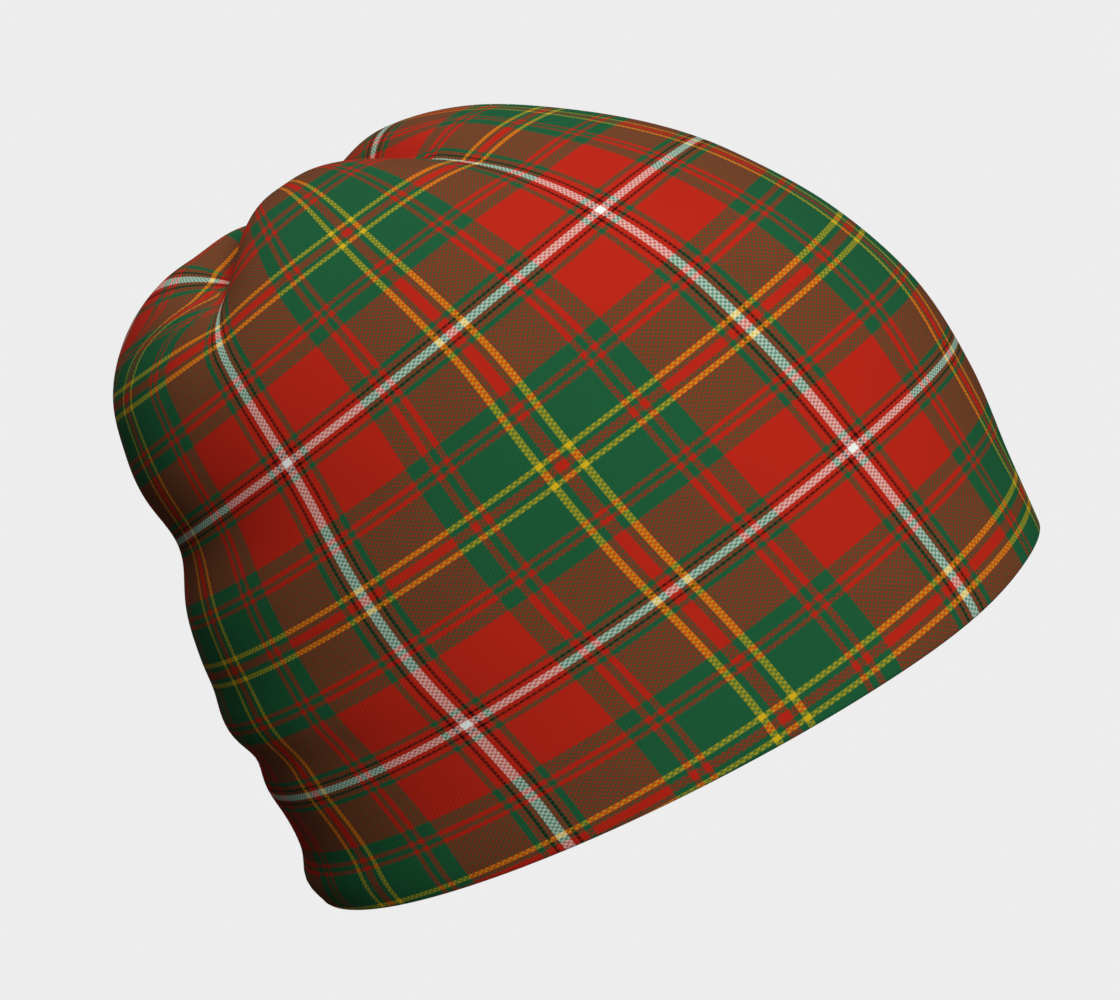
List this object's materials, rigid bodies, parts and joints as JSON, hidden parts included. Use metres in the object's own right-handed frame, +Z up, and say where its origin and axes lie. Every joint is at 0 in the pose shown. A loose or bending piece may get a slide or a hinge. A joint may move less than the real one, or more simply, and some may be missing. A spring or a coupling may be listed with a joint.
{
  "type": "beanie",
  "caption": "Close-fitting soft cloth beanie in red and green tartan, hollow, with a gathered petal crown and soft folds at the back.",
  "frame": {"origin": "middle of the rim on the ground, under the middle of the hat's length and width", "axes": "+X towards the forehead, +Y towards the wearer's left ear, +Z up out of the crown"},
  "size_m": [0.2006, 0.1562, 0.1566],
  "materials": {
    "tartan_jersey": "matte printed jersey in a red, green, white, black and yellow tartan"
  },
  "bodies": {
    "root": {"crown": "tartan_jersey"}
  },
  "joints": []
}
